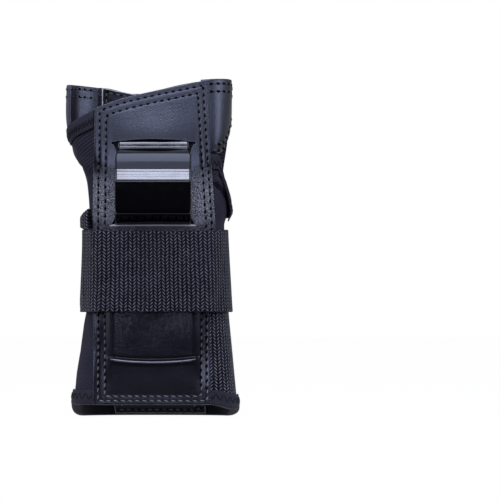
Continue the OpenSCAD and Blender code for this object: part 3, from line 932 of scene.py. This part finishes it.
def panel_place(x0, z0):
    """Place on the palm of a column and a row of the panel."""
    off = abs(x0 - SLOT_X)
    near = ease((SLOT_HALF + 4 - off) / 4)
    sag = (SLOT_SAG * (off / SLOT_HALF) ** 2 - 0.4) * near
    closed = SLOT_CLOSED * bell((z0 - LOWER_SLOT[1]) / 5) * (z0 >= LOWER_SLOT[1]) * near
    end = SLOT_END * ease((off - SPLINT_HALF + 1.1) / 2.3) * near
    z = z0 + sag * bell((z0 - LOWER_SLOT[0]) / 7) - closed
    if MIDDLE_SLOT[1] <= z0 <= UPPER_SLOT[0]:
        z += end * (bell((UPPER_SLOT[0] - z0) / 6) - bell((z0 - MIDDLE_SLOT[1]) / 6))
    elif MIDDLE_SLOT[0] <= z0 < MIDDLE_SLOT[1]:
        z -= end * (z0 - MIDDLE_SLOT[0]) / (MIDDLE_SLOT[1] - MIDDLE_SLOT[0])
    elif UPPER_SLOT[0] < z0 < UPPER_SLOT[1]:
        z += end * (UPPER_SLOT[1] - z0) / (UPPER_SLOT[1] - UPPER_SLOT[0])
    x = x0
    arch = SLOT_ARCH * clamp(1 - (off / SLOT_HALF) ** 2)
    for _ in range(2):
        if z0 >= UPPER_SLOT[1]:
            f = (z0 - UPPER_SLOT[1]) / (PALM_TOP - UPPER_SLOT[1])
            z = mix(UPPER_SLOT[1] + arch, palm_edge_high(x), f)
        if x0 > SLOT_RIGHT:
            x = mix(SLOT_RIGHT, palm_right(z), (x0 - SLOT_RIGHT) / (PALM_RIGHT_WRIST - SLOT_RIGHT))
    return x, z


# %% Lift of the panel over the splint and at its slots
POCKET_FLANK = 6


def inset(x, z, row):
    """How far a place is inside a stitch row."""
    left, right, top, low = row
    return min(
        x - PALM_LEFT - left, palm_right(z) - x - right, palm_edge_high(x) - z - top, z - PALM_LOW - low
    )


def over_splint(x, z):
    """Share of the pocket's lift: nothing at the inner stitch rows, and one over the splint."""
    below = ease((MIDDLE_SLOT[1] - 1 - z) / (MIDDLE_SLOT[1] - MIDDLE_SLOT[0] - 1))
    above = ease((z - UPPER_SLOT[0] - 1) / (UPPER_SLOT[1] - UPPER_SLOT[0] - 1))
    left, right, top, _ = SEWN_ROWS[1]
    side = ease((x - PALM_LEFT - left + 1) / POCKET_FLANK)
    side *= ease((palm_right(z) - x - right + 1) / POCKET_FLANK)
    return max(below, above) * side * ease((palm_edge_high(x) - z - top + 1) / POCKET_FLANK)


def lips(x, z, row):
    """Lift of the slots' lips. The row says on which side of a slot the place is."""
    middle = clamp(1 - ((x - SLOT_X) / SLOT_HALF) ** 2)
    inside = ease(middle * 6)
    if row >= UPPER_SLOT[1]:
        return 1.3 * middle * ease((158 - z) / 20)
    if LOWER_SLOT[1] <= row <= MIDDLE_SLOT[0]:
        hidden = 1.2 * inside * clamp(1 - (row - LOWER_SLOT[1]) / 2)
        return -0.2 * clamp((row - MIDDLE_SLOT[0] + 1.2) / 1.2) - hidden
    if row <= LOWER_SLOT[0]:
        rise = 0.3 * inside * ease((row - LOWER_SLOT[0] + 2.6) / 2.2)
        return rise - 0.25 * inside * clamp((row - LOWER_SLOT[0] + 0.6) / 0.6)
    return 0.0


def panel_lift(x, z, row=None):
    tucked = ease((BINDING_TOP - z) / 22 + 1) * (TAPE_T + GAP)
    depth = mix(0.06, 0.2, ease((z - 80) / 60))
    grooves = sum(depth * bell(inset(x, z, sewn) / 0.7) for sewn in SEWN_ROWS)
    soft = noise.noise(Vector((x * 0.08, z * 0.06, 7.0))) * 0.25 + 0.1
    edge = lips(x, z, z if row is None else row)
    return GAP + mix(tucked, pocket_height(z), over_splint(x, z)) + edge - grooves + soft


# %% The panel
def panel_out(x0, z0):
    x, z = panel_place(x0, z0)
    return wall(palm_angle(x, z), z, panel_lift(x, z, z0) + LEATHER_T)


def rolled(z0):
    """The lower lips of the slots roll out a little, so that their cut edge shows."""
    if z0 <= LOWER_SLOT[0]:
        return 0.2 * clamp((z0 - LOWER_SLOT[0] + 0.8) / 0.8)
    return 0.9 * clamp(z0 - MIDDLE_SLOT[0] + 1) * (z0 <= MIDDLE_SLOT[0])


def panel_in(x0, z0):
    x, z = panel_place(x0, z0)
    z += rolled(z0)
    return wall(palm_angle(x, z), z, panel_lift(x, z, z0))


def panel_chart(x0, z0):
    return x0 * CHART, z0 * CHART


def in_slot(x, z):
    if abs(x - SLOT_X) > SLOT_HALF:
        return False
    return any(low < z < high for low, high in (LOWER_SLOT, MIDDLE_SLOT, UPPER_SLOT))


palm_leather = make_sheet(
    "palm_leather", PANEL_COLUMNS, PANEL_ROWS, panel_out, panel_in, panel_chart, (leather, cut_edge),
    cut=in_slot, bevel=0.5,
)
print("palm panel:", len(palm_leather.data.polygons), "faces")

# %% [markdown]
# ## The bent splint
#
# A strip of glossy plastic with rounded edges. Its side view is a line with six bends,
# and it bows out over the heel of the hand between the two upper slots.

# %% The line of its inner face
SPLINT_T = 2.2
SPLINT_LOW = 14.6
SPLINT_TOP = 149.7
# How far out from the palm, and how high
SPLINT_CORNERS = (
    (GAP, SPLINT_LOW), (GAP, 97.2), (10.7, 104.0), (11.7, 118.2),
    (9.5, 123.4), (5.7, 128.9), (GAP, 133.5), (GAP, SPLINT_TOP),
)
SPLINT_BENDS = (3, 2, 0.3, 4, 30, 2.9)
BEND_STEPS = 10


def palm_y(z):
    _, depth, _, y = ring(round(z, 3))
    return y - depth / 2


def bend(p, q, s, radius, n):
    """Arc that rounds the corner q between p and s."""
    u = (p - q).normalized()
    v = (s - q).normalized()
    half = u.angle(v) / 2
    centre = q + (u + v).normalized() * radius / math.sin(half)
    start = q + u * radius / math.tan(half) - centre
    stop = q + v * radius / math.tan(half) - centre
    first = math.atan2(start.y, start.x)
    turn = (math.atan2(stop.y, stop.x) - first + 3 * math.pi) % math.tau - math.pi
    turns = [first + turn * i / n for i in range(n + 1)]
    return [centre + radius * Vector((math.cos(t), math.sin(t))) for t in turns]


corners = [Vector(c) for c in SPLINT_CORNERS]
splint_line = [corners[0].lerp(corners[1], f) for f in spread(0, 0.94, 40)]
for i, radius in enumerate(SPLINT_BENDS, 1):
    splint_line += bend(corners[i - 1], corners[i], corners[i + 1], radius, BEND_STEPS)
splint_line += [splint_line[-1].lerp(corners[-1], f) for f in spread(0.05, 1, 10)]
splint_line = [Vector((palm_y(p.y) - p.x + pressed(p.y), p.y)) for p in splint_line]


# %% Sweep a rounded section along the line
EDGE_RADIUS = 1.05
EDGE_STEPS = 4
END_RADIUS = 8


def section(half):
    """Rounded rectangle as points across the strip and out of its face."""
    x = half - EDGE_RADIUS
    y = SPLINT_T - EDGE_RADIUS
    quarters = ((x, y, 0), (-x, y, 90), (-x, EDGE_RADIUS, 180), (x, EDGE_RADIUS, 270))
    outline = []
    for across, out, first in quarters:
        for i in range(EDGE_STEPS + 1):
            a = math.radians(first + 90 * i / EDGE_STEPS)
            outline.append((across + EDGE_RADIUS * math.cos(a), out + EDGE_RADIUS * math.sin(a)))
    return outline


def splint_half(z):
    """The strip's ends are rounded in front view."""
    end = min(z - SPLINT_LOW, SPLINT_TOP - z)
    if end >= END_RADIUS:
        return SPLINT_HALF - 1.2 * ease((z - 130) / 3)
    return SPLINT_HALF - END_RADIUS + math.sqrt(max(0.0, END_RADIUS**2 - (END_RADIUS - end) ** 2))


bm = bmesh.new()
points = len(section(SPLINT_HALF))
bmesh.ops.create_grid(bm, x_segments=points, y_segments=len(splint_line) - 1, size=0.5)
for v in bm.verts:
    i = round((v.co.x + 0.5) * points) % points
    j = round((v.co.y + 0.5) * (len(splint_line) - 1))
    before = splint_line[max(0, j - 1)]
    after = splint_line[min(len(splint_line) - 1, j + 1)]
    along = (after - before).normalized()
    across, out = section(splint_half(splint_line[j].y))[i]
    y, z = splint_line[j] + out * Vector((-along.y, along.x))
    v.co = (Vector((SLOT_X + across, y, z)) - MIDDLE) * MM
bmesh.ops.remove_doubles(bm, verts=bm.verts[:], dist=1e-6)
bmesh.ops.holes_fill(bm, edges=[e for e in bm.edges if e.is_boundary], sides=0)
bmesh.ops.recalc_face_normals(bm, faces=bm.faces[:])
bent_splint = make_object("bent_splint", bm, gloss)
print("splint:", len(bent_splint.data.polygons), "faces")

# %% [markdown]
# ## The pocket inside the back
#
# A leather lining is sewn to the inner side of the back. A second splint lies in it under a foam pad.

# %% Lining
LINING_RIGHT = 29
LINING_LOW = 1
LINING_RISE = 4.6
# How far the stitch rows lie in from the sides and from the ends
LINING_ROWS = ((2.0, 2.0), (5.2, 5.6))
PAD_HALF = 18
PAD_LOW = 18
PAD_HIGH = 148


def lining_left(z):
    return mix(-20, -27, ease(z / 16))


def lining_high(u):
    return 160 + 6.5 * u**2


def over_back_splint(x, z):
    side = ease((PAD_HALF - abs(x - SLOT_X)) / 4 + 2)
    return side * ease((z - PAD_LOW) / 8 + 2) * ease((PAD_HIGH - z) / 8 + 2)


def lining_depth(angle, z):
    x = panel_x(angle, z)
    tucked = ease((BINDING_TOP - z) / 5 + 1) * (TAPE_T + GAP)
    return -WALL_T - GAP - tucked - over_back_splint(x, z) * LINING_RISE


lining_sides = (
    lambda z: back_angle(LINING_RIGHT, z), lambda z: back_angle(lining_left(z), z),
    always(LINING_LOW), lining_high,
)
back_leather = sleeve_piece(
    "back_leather", lining_sides, (-LEATHER_T, 0), (60, 110), (lining_leather, cut_edge), lining_depth,
    bevel=0.4,
)


# %% Foam pad over the back splint
PAD_INNER = -6.3
PAD_OUTER = -5.6
PAD_CROWN = 1.3


def pad_drop(u):
    return 10 * (1 - (1 - abs(2 * u - 1) ** 4) ** 0.25)


def pad_face(out, crown):
    def at(u, v):
        z = mix(PAD_LOW + pad_drop(u), PAD_HIGH - pad_drop(u), v)
        angle = mix(back_angle(SLOT_X + PAD_HALF, z), back_angle(SLOT_X - PAD_HALF, z), u)
        edge = min(u, 1 - u, v * 3, (1 - v) * 3)
        return wall(angle, z, out - crown * ease(edge / 0.12))

    return at


back_foam = make_sheet(
    "back_foam", spread(0.004, 0.996, 30), spread(0, 1, 70), pad_face(PAD_INNER, PAD_CROWN),
    pad_face(PAD_OUTER, 0), lambda u, v: (u, v), (foam,), bevel=0.2,
)
print("back pocket filled")

# %% [markdown]
# ## The strap
#
# Elastic webbing, sewn on beside the palm panel. It goes over the back, comes round the thumb side,
# crosses the palm and closes on itself at the back with hook and loop.

# %% Lifts of the strap's layers
LAYER = WEBBING_T + GAP
OVER_ANCHOR = LAYER + GAP
TAIL_LIFT = LAYER + 2 * (PATCH_T + GAP) + GAP
STRAP_JOIN = 20
HALF_SIDE = 174
TAIL_END = 62
ANCHOR_CLIMB = 17
ANCHOR_LEVEL = 150
ANCHOR_TURN = 78
PATCH_START = 72
PATCH_STOP = 112
PATCH_INSET = 4.5
POCKET_REACH = 32
FRONT_GROOVE_X = -29.8


def strap_over_palm(angle, z):
    x = panel_x(angle, z)
    pocket = ease((POCKET_REACH - abs(x - SLOT_X)) / 8)
    panel = ease((palm_right(z) - x) / 4 + 1.2)
    return GAP + panel * (LEATHER_T + GAP) + pocket * (POCKET_MIN + POCKET_RISE)


def anchor_rise(angle):
    """How much higher the strap's sewn start lies than the strap: it climbs to the palm panel."""
    return ANCHOR_CLIMB * clamp((angle - ANCHOR_LEVEL) / ANCHOR_TURN) ** 1.6


def over_anchor(angle, z):
    """Lift over the strap's sewn start, which climbs, so that below it the strap lies closer."""
    return mix(3 * GAP, OVER_ANCHOR, ease((z - STRAP_Z - anchor_rise(angle)) / 4 + 1))


def front_lift(angle, z):
    x = panel_x(angle, z)
    groove = 0.5 * bell((x - FRONT_GROOVE_X) / 0.8) * (angle < 270)
    return max(strap_over_palm(angle, z), over_anchor(angle, z) if angle < 270 else 0) - groove


def tail_lift(angle, z):
    return mix(TAIL_LIFT, over_anchor(angle, z), ease((angle - PATCH_STOP) / 12))


def anchor_lift(angle, z):
    bulge = ease((z - STRAP_Z - STRAP_W + 0.3) / 1.8) * (1 - 0.4 * ease((z - 99) / 8))
    return GAP + 3 * bell((angle - 190) / 22) * bulge


# %% A stretch of webbing between two angles
STRAP_CELLS = (200, 36)
ROLL_PITCH = 4.7
RIB = 0.06
RUFFLE = 0.22
ARC_Z = 73
ARC_OUT = 3


def strap_piece(name, start, stop, rise, lift):
    """Ribbed webbing with a slightly ruffled selvedge."""
    angles = spread(start, stop, STRAP_CELLS[0])
    arc = covered([wall(angle, ARC_Z, ARC_OUT) for angle in angles])

    def place(u, v):
        angle = mix(start, stop, u)
        length = arc[round(u * STRAP_CELLS[0])]
        edge = abs(2 * v - 1) ** 12
        ruffle = RUFFLE * math.sin(length * math.tau / (ROLL_PITCH / 2)) * edge
        return angle, STRAP_Z + rise(angle) + STRAP_W * v + ruffle, length

    def face(thick, rib):
        def at(u, v):
            angle, z, length = place(u, v)
            ribbed = rib * math.cos(length * math.tau / ROLL_PITCH)
            return wall(angle, z, lift(angle, z) + thick + ribbed)

        return at

    def chart(u, v):
        return place(u, v)[2] * CHART, v * STRAP_W * CHART

    us = spread(0, 1, STRAP_CELLS[0])
    vs = spread(0, 1, STRAP_CELLS[1])
    return make_sheet(name, us, vs, face(WEBBING_T, RIB), face(0, 0), chart, (webbing,), bevel=0.45)


level_rise = always(0)
front_stop = 359.5 + STRAP_JOIN
anchor_stop = palm_angle(PALM_LEFT - 2 * GAP, 82)
strap_front_band = strap_piece("strap_front_band", HALF_SIDE, front_stop, level_rise, front_lift)
strap_tail_band = strap_piece("strap_tail_band", TAIL_END, HALF_SIDE, level_rise, tail_lift)
strap_anchor_band = strap_piece("strap_anchor_band", STRAP_JOIN, anchor_stop, anchor_rise, anchor_lift)


# %% Hook and loop
patch_sides = (
    always(PATCH_START), always(PATCH_STOP),
    always(STRAP_Z + PATCH_INSET), always(STRAP_Z + STRAP_W - PATCH_INSET),
)


def patch_piece(name, out, material):
    return sleeve_piece(name, patch_sides, (out + PATCH_T, out), (30, 24), (material,), bevel=0.2)


loop_pad = patch_piece("loop_pad", LAYER + GAP, loop)
hook_pad = patch_piece("hook_pad", LAYER + PATCH_T + 2 * GAP, hook)
print("strap laid")

# %% [markdown]
# ## Thread
#
# Two rows of stitches hold the palm panel. The leather webs, the lining and the strap have their own,
# and the bindings have a zigzag.


# %% Rows on the palm panel
def on_palm(x, z):
    return wall(palm_angle(x, z), z, panel_lift(x, z) + LEATHER_T)


def panel_row(row):
    left, right, top, low = row
    left_x = PALM_LEFT + left
    low_z = PALM_LOW + low
    path = [(left_x, z) for z in spread(low_z, palm_edge_high(left_x) - top - 1.5, 60)]
    path += [(x, palm_edge_high(x) - top) for x in spread(left_x + 1, palm_right(160) - right, 50)]
    path += [(palm_right(z) - right, z) for z in spread(path[-1][1] - 0.5, low_z, 60)]
    path += [(x, low_z) for x in spread(palm_right(low_z) - right, left_x, 40)]
    return path


bm = bmesh.new()
for row in SEWN_ROWS:
    sew(bm, on_palm, panel_row(row), slant=0.25)
palm_stitches = make_object("palm_stitches", bm, thread, hole_shade)


# %% Rows on the leather webs
STEP = (0.01, 0.01)


def top_row(web, drop):
    low, high = web[2:]
    return [(u, 1 - drop / (high(u) - low(u))) for u in spread(0.03, 0.97, 30)]


thumb_face = sleeve_face(thumb_web, 0, web_folds)
finger_face = sleeve_face(finger_web, 0, web_folds)
finger_inside = sleeve_face(finger_web, -WEB_T, web_folds)
bm = bmesh.new()
for drop in (2.3, 6.2):
    sew(bm, finger_inside, top_row(finger_web, drop - 0.4), step=STEP, flip=-1)
    sew(bm, thumb_face, top_row(thumb_web, drop), step=STEP)
    sew(bm, finger_face, top_row(finger_web, drop - 0.4), step=STEP)
for rise in (1.4, 4.6):
    path = [(u, rise / (thumb_web_high(u) - thumb_high(u))) for u in spread(0.1, 0.97, 30)]
    sew(bm, thumb_face, path, step=STEP)
web_stitches = make_object("web_stitches", bm, thread, hole_shade)

# %% Rows on the lining
LINING_W = 60
LINING_LENGTH = 165
ROW_START = 0.02
bm = bmesh.new()
lining_inside = sleeve_face(lining_sides, -LEATHER_T, lining_depth)
for side, end in LINING_ROWS:
    right = side / LINING_W
    left = 1 - right
    low = end / LINING_LENGTH
    path = [(left, v) for v in spread(ROW_START, 1 - low, 60)]
    path += [(u, 1 - low) for u in spread(left, right, 30)[1:]]
    path += [(right, v) for v in spread(1 - low, ROW_START, 60)[1:]]
    path += [(u, low) for u in spread(right, left, 30)[1:]]
    sew(bm, lining_inside, path, step=STEP, flip=-1)
lining_stitches = make_object("lining_stitches", bm, thread, hole_shade)


# %% Zigzag on the bindings
ZIGZAG = (0.25, 0.8)


def on_fold(face):
    return lambda u, w: face(u, TURN_SHARE + (1 - TURN_SHARE) * w)


bm = bmesh.new()
zigzag(bm, on_fold(binding_face(cuff_edge, 1, TAPE_T)), 144, *ZIGZAG, step=(0.002, 0.02))
zigzag(bm, on_fold(binding_face(little_finger_edge, -1, TAPE_T)), 26, *ZIGZAG)
zigzag(bm, on_fold(binding_face(thumb_edge, -1, TAPE_T, thumb_flap)), 28, *ZIGZAG)
tape_stitches = make_object("tape_stitches", bm, dark_thread)


# %% Rows on the strap
JOIN_ROWS = (376.5, 372.5)
ANCHOR_ROW = 24
STRAP_STEP = (0.5, 0.01)


def on_anchor(angle, v):
    z = STRAP_Z + anchor_rise(angle) + STRAP_W * v
    return wall(angle, z, GAP + WEBBING_T)


def on_join(angle, v):
    z = STRAP_Z + STRAP_W * v
    return wall(angle, z, strap_over_palm(angle, z) + WEBBING_T)


bm = bmesh.new()
across_strap = spread(0.04, 0.96, 20)
for angle in JOIN_ROWS:
    sew(bm, on_join, [(angle, v) for v in across_strap], step=STRAP_STEP)
sew(bm, on_anchor, [(ANCHOR_ROW, v) for v in across_strap], step=STRAP_STEP)
strap_stitches = make_object("strap_stitches", bm, thread, hole_shade)
sewn = (palm_stitches, web_stitches, lining_stitches, tape_stitches, strap_stitches)
print("thread:", sum(len(rows.data.polygons) for rows in sewn), "faces")

# %% [markdown]
# ## Bodies and stand-ins
#
# The sleeve is one body. The strap's side and its tail swing, so the webbing that crosses a hinge bends.

# %% Riding pieces
GUARD_PIECES = (
    (palm_knit, "knit", ("palm_base",)),
    (little_finger_knit, "knit", ("little_finger_side",)),
    (back_knit, "knit", ("back_base",)),
    (thumb_knit, "knit", ("thumb_side",)),
    (gusset, "webbing", ("cuff_gusset",)),
    (thumb_leather, "leather", ("thumb_web",)),
    (little_finger_leather, "leather", ("little_finger_web",)),
    (palm_leather, "leather", ("palm_panel",)),
    (bent_splint, "gloss_splint", ("palm_splint",)),
    (back_leather, "leather", ("back_lining",)),
    (back_foam, "foam", ("back_pad",)),
    (cuff_tape, "tape", ("cuff_binding",)),
    (little_finger_tape, "tape", ("little_finger_binding",)),
    (thumb_tape, "tape", ("thumb_binding",)),
    (strap_anchor_band, "webbing", ("strap_back_turn",)),
    (loop_pad, "loop", ("loop_patch",)),
    *((rows, "tape", ()) for rows in sewn),
)
for piece, slot, nodes in GUARD_PIECES:
    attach(piece, "guard")
    if nodes:
        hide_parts(*nodes)
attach(hook_pad, "strap_tail")
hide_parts("hook_patch")
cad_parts["back_splint"].data.materials.clear()
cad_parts["back_splint"].data.materials.append(inner_plastic)

# %% Bending pieces
STRAP_MIDDLE = 0.0735
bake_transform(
    strap_front_band, "guard", "strap_side",
    start=(-0.0325, -0.0187, STRAP_MIDDLE), end=(-0.0365, -0.0127, STRAP_MIDDLE),
)
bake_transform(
    strap_tail_band, "strap_side", "strap_tail",
    start=(-0.0256, 0.0277, STRAP_MIDDLE), end=(-0.0172, 0.0322, STRAP_MIDDLE),
)
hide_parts("strap_front")
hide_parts("strap_side", "strap_tail")

# %% Pieces in place
print("pieces ride, bend and stand for CAD nodes")

# %% [markdown]
# ## Table, light and camera
#
# A white table and a pale room behind the guard. One narrow softbox in front and above draws
# the bright band on the splint. Weaker ones low, in front, overhead and at both sides model
# the leather and the knit. The room in front is dim, so that the glossy splint shows black
# between its highlights.


# %% Floor
FLOOR_HALF = 1.4
FLOOR_BACK = 1.365
FLOOR_GLOW = 0.98


def floor_material():
    made = bpy.data.materials.new("table_white")
    made.use_nodes = True
    tree = made.node_tree
    tree.nodes.clear()
    rays = tree.nodes.new("ShaderNodeLightPath")
    seen = Socket(tree, rays.outputs["Is Camera Ray"])
    shiny = Socket(tree, rays.outputs["Is Glossy Ray"])
    through = Socket(tree, rays.outputs["Is Transmission Ray"])
    share = seen.math("MAXIMUM", shiny).math("MAXIMUM", through) * FLOOR_GLOW
    paint = seen.derive("ShaderNodeBsdfDiffuse", {"Color": (0.8, 0.8, 0.8, 1)})
    glow = seen.derive("ShaderNodeEmission", {"Color": (1, 1, 1, 1), "Strength": 1.0})
    both = seen.derive("ShaderNodeMixShader", {0: share, 1: paint, 2: glow})
    end = tree.nodes.new("ShaderNodeOutputMaterial")
    tree.links.new(both.output, end.inputs["Surface"])
    return made


bm = bmesh.new()
bmesh.ops.create_grid(bm, x_segments=2, y_segments=2, size=FLOOR_HALF)
bmesh.ops.translate(bm, vec=(0, FLOOR_BACK, 0), verts=bm.verts[:])
floor = make_object("floor", bm, floor_material())

# %% Room light
world = bpy.data.worlds.new("room")
bpy.context.scene.world = world
world.use_nodes = True
room = world.node_tree
sky = room.nodes["Background"]
direction = Socket(room, room.nodes.new("ShaderNodeTexCoord").outputs["Generated"])
seen = Socket(room, room.nodes.new("ShaderNodeLightPath").outputs["Is Camera Ray"])
behind = direction.part(1).ramp(-0.3, 0.2) * direction.part(2).ramp(-0.25, 0.05) * 0.35
above = direction.part(2).ramp(0.25, 0.6) * 0.2
level = behind.math("MAXIMUM", above).math("MAXIMUM", seen)
room.links.new(level.colours((0.02, 0.02, 0.022), (1, 1, 1)).output, sky.inputs["Color"])
sky.inputs["Strength"].default_value = 1.0


# %% Lamps
AIM = Vector((0, 0, 0.09))
LAMP_DISTANCE = 2
COOL_WHITE = (0.92, 0.94, 1.0)
SKY_BLUE = (0.72, 0.77, 1.0)


def softbox(name, turn, height, size, radiance, colour=COOL_WHITE):
    """A lamp at two angles, round and above the guard's front."""
    a = math.radians(turn)
    e = math.radians(height)
    away = Vector((math.sin(a) * math.cos(e), -math.cos(a) * math.cos(e), math.sin(e)))
    lamp = bpy.data.lights.new(name, "AREA")
    lamp.shape = "RECTANGLE"
    lamp.size, lamp.size_y = size
    lamp.energy = radiance * math.pi * size[0] * size[1]
    lamp.color = colour
    made = bpy.data.objects.new(name, lamp)
    made.location = AIM + LAMP_DISTANCE * away
    made.rotation_euler = away.to_track_quat("Z", "Y").to_euler()
    bpy.context.scene.collection.objects.link(made)


softbox("key_box", 0, 52, (0.9, 0.34), 19)
softbox("low_box", 0, 11, (2.0, 0.42), 4)
softbox("front_box", 0, 32, (2.0, 0.6), 0.8)
softbox("high_box", 0, 70, (1.6, 0.9), 1.4, SKY_BLUE)
softbox("top_box", 0, 92, (1.6, 0.7), 3.4, SKY_BLUE)
softbox("left_box", -70, 25, (1.2, 1.0), 5.5)
softbox("right_box", 70, 25, (1.2, 1.0), 5.5)

# %% Camera
VIEW_WIDTH = 0.25
VIEW_X = 0.0487
VIEW_Z = 0.084
DISTANCE = 3.0
PALM_FACE = 0.022
SENSOR = 36
camera_data = bpy.data.cameras.new("camera")
camera_data.sensor_width = SENSOR
camera_data.lens = SENSOR * (DISTANCE - PALM_FACE) / VIEW_WIDTH
camera_data.clip_end = 20
camera = bpy.data.objects.new("camera", camera_data)
camera.location = (VIEW_X, -DISTANCE, VIEW_Z)
camera.rotation_euler = (math.pi / 2, 0, 0)
bpy.context.scene.collection.objects.link(camera)
bpy.context.scene.camera = camera
bpy.context.scene.view_settings.view_transform = "Standard"
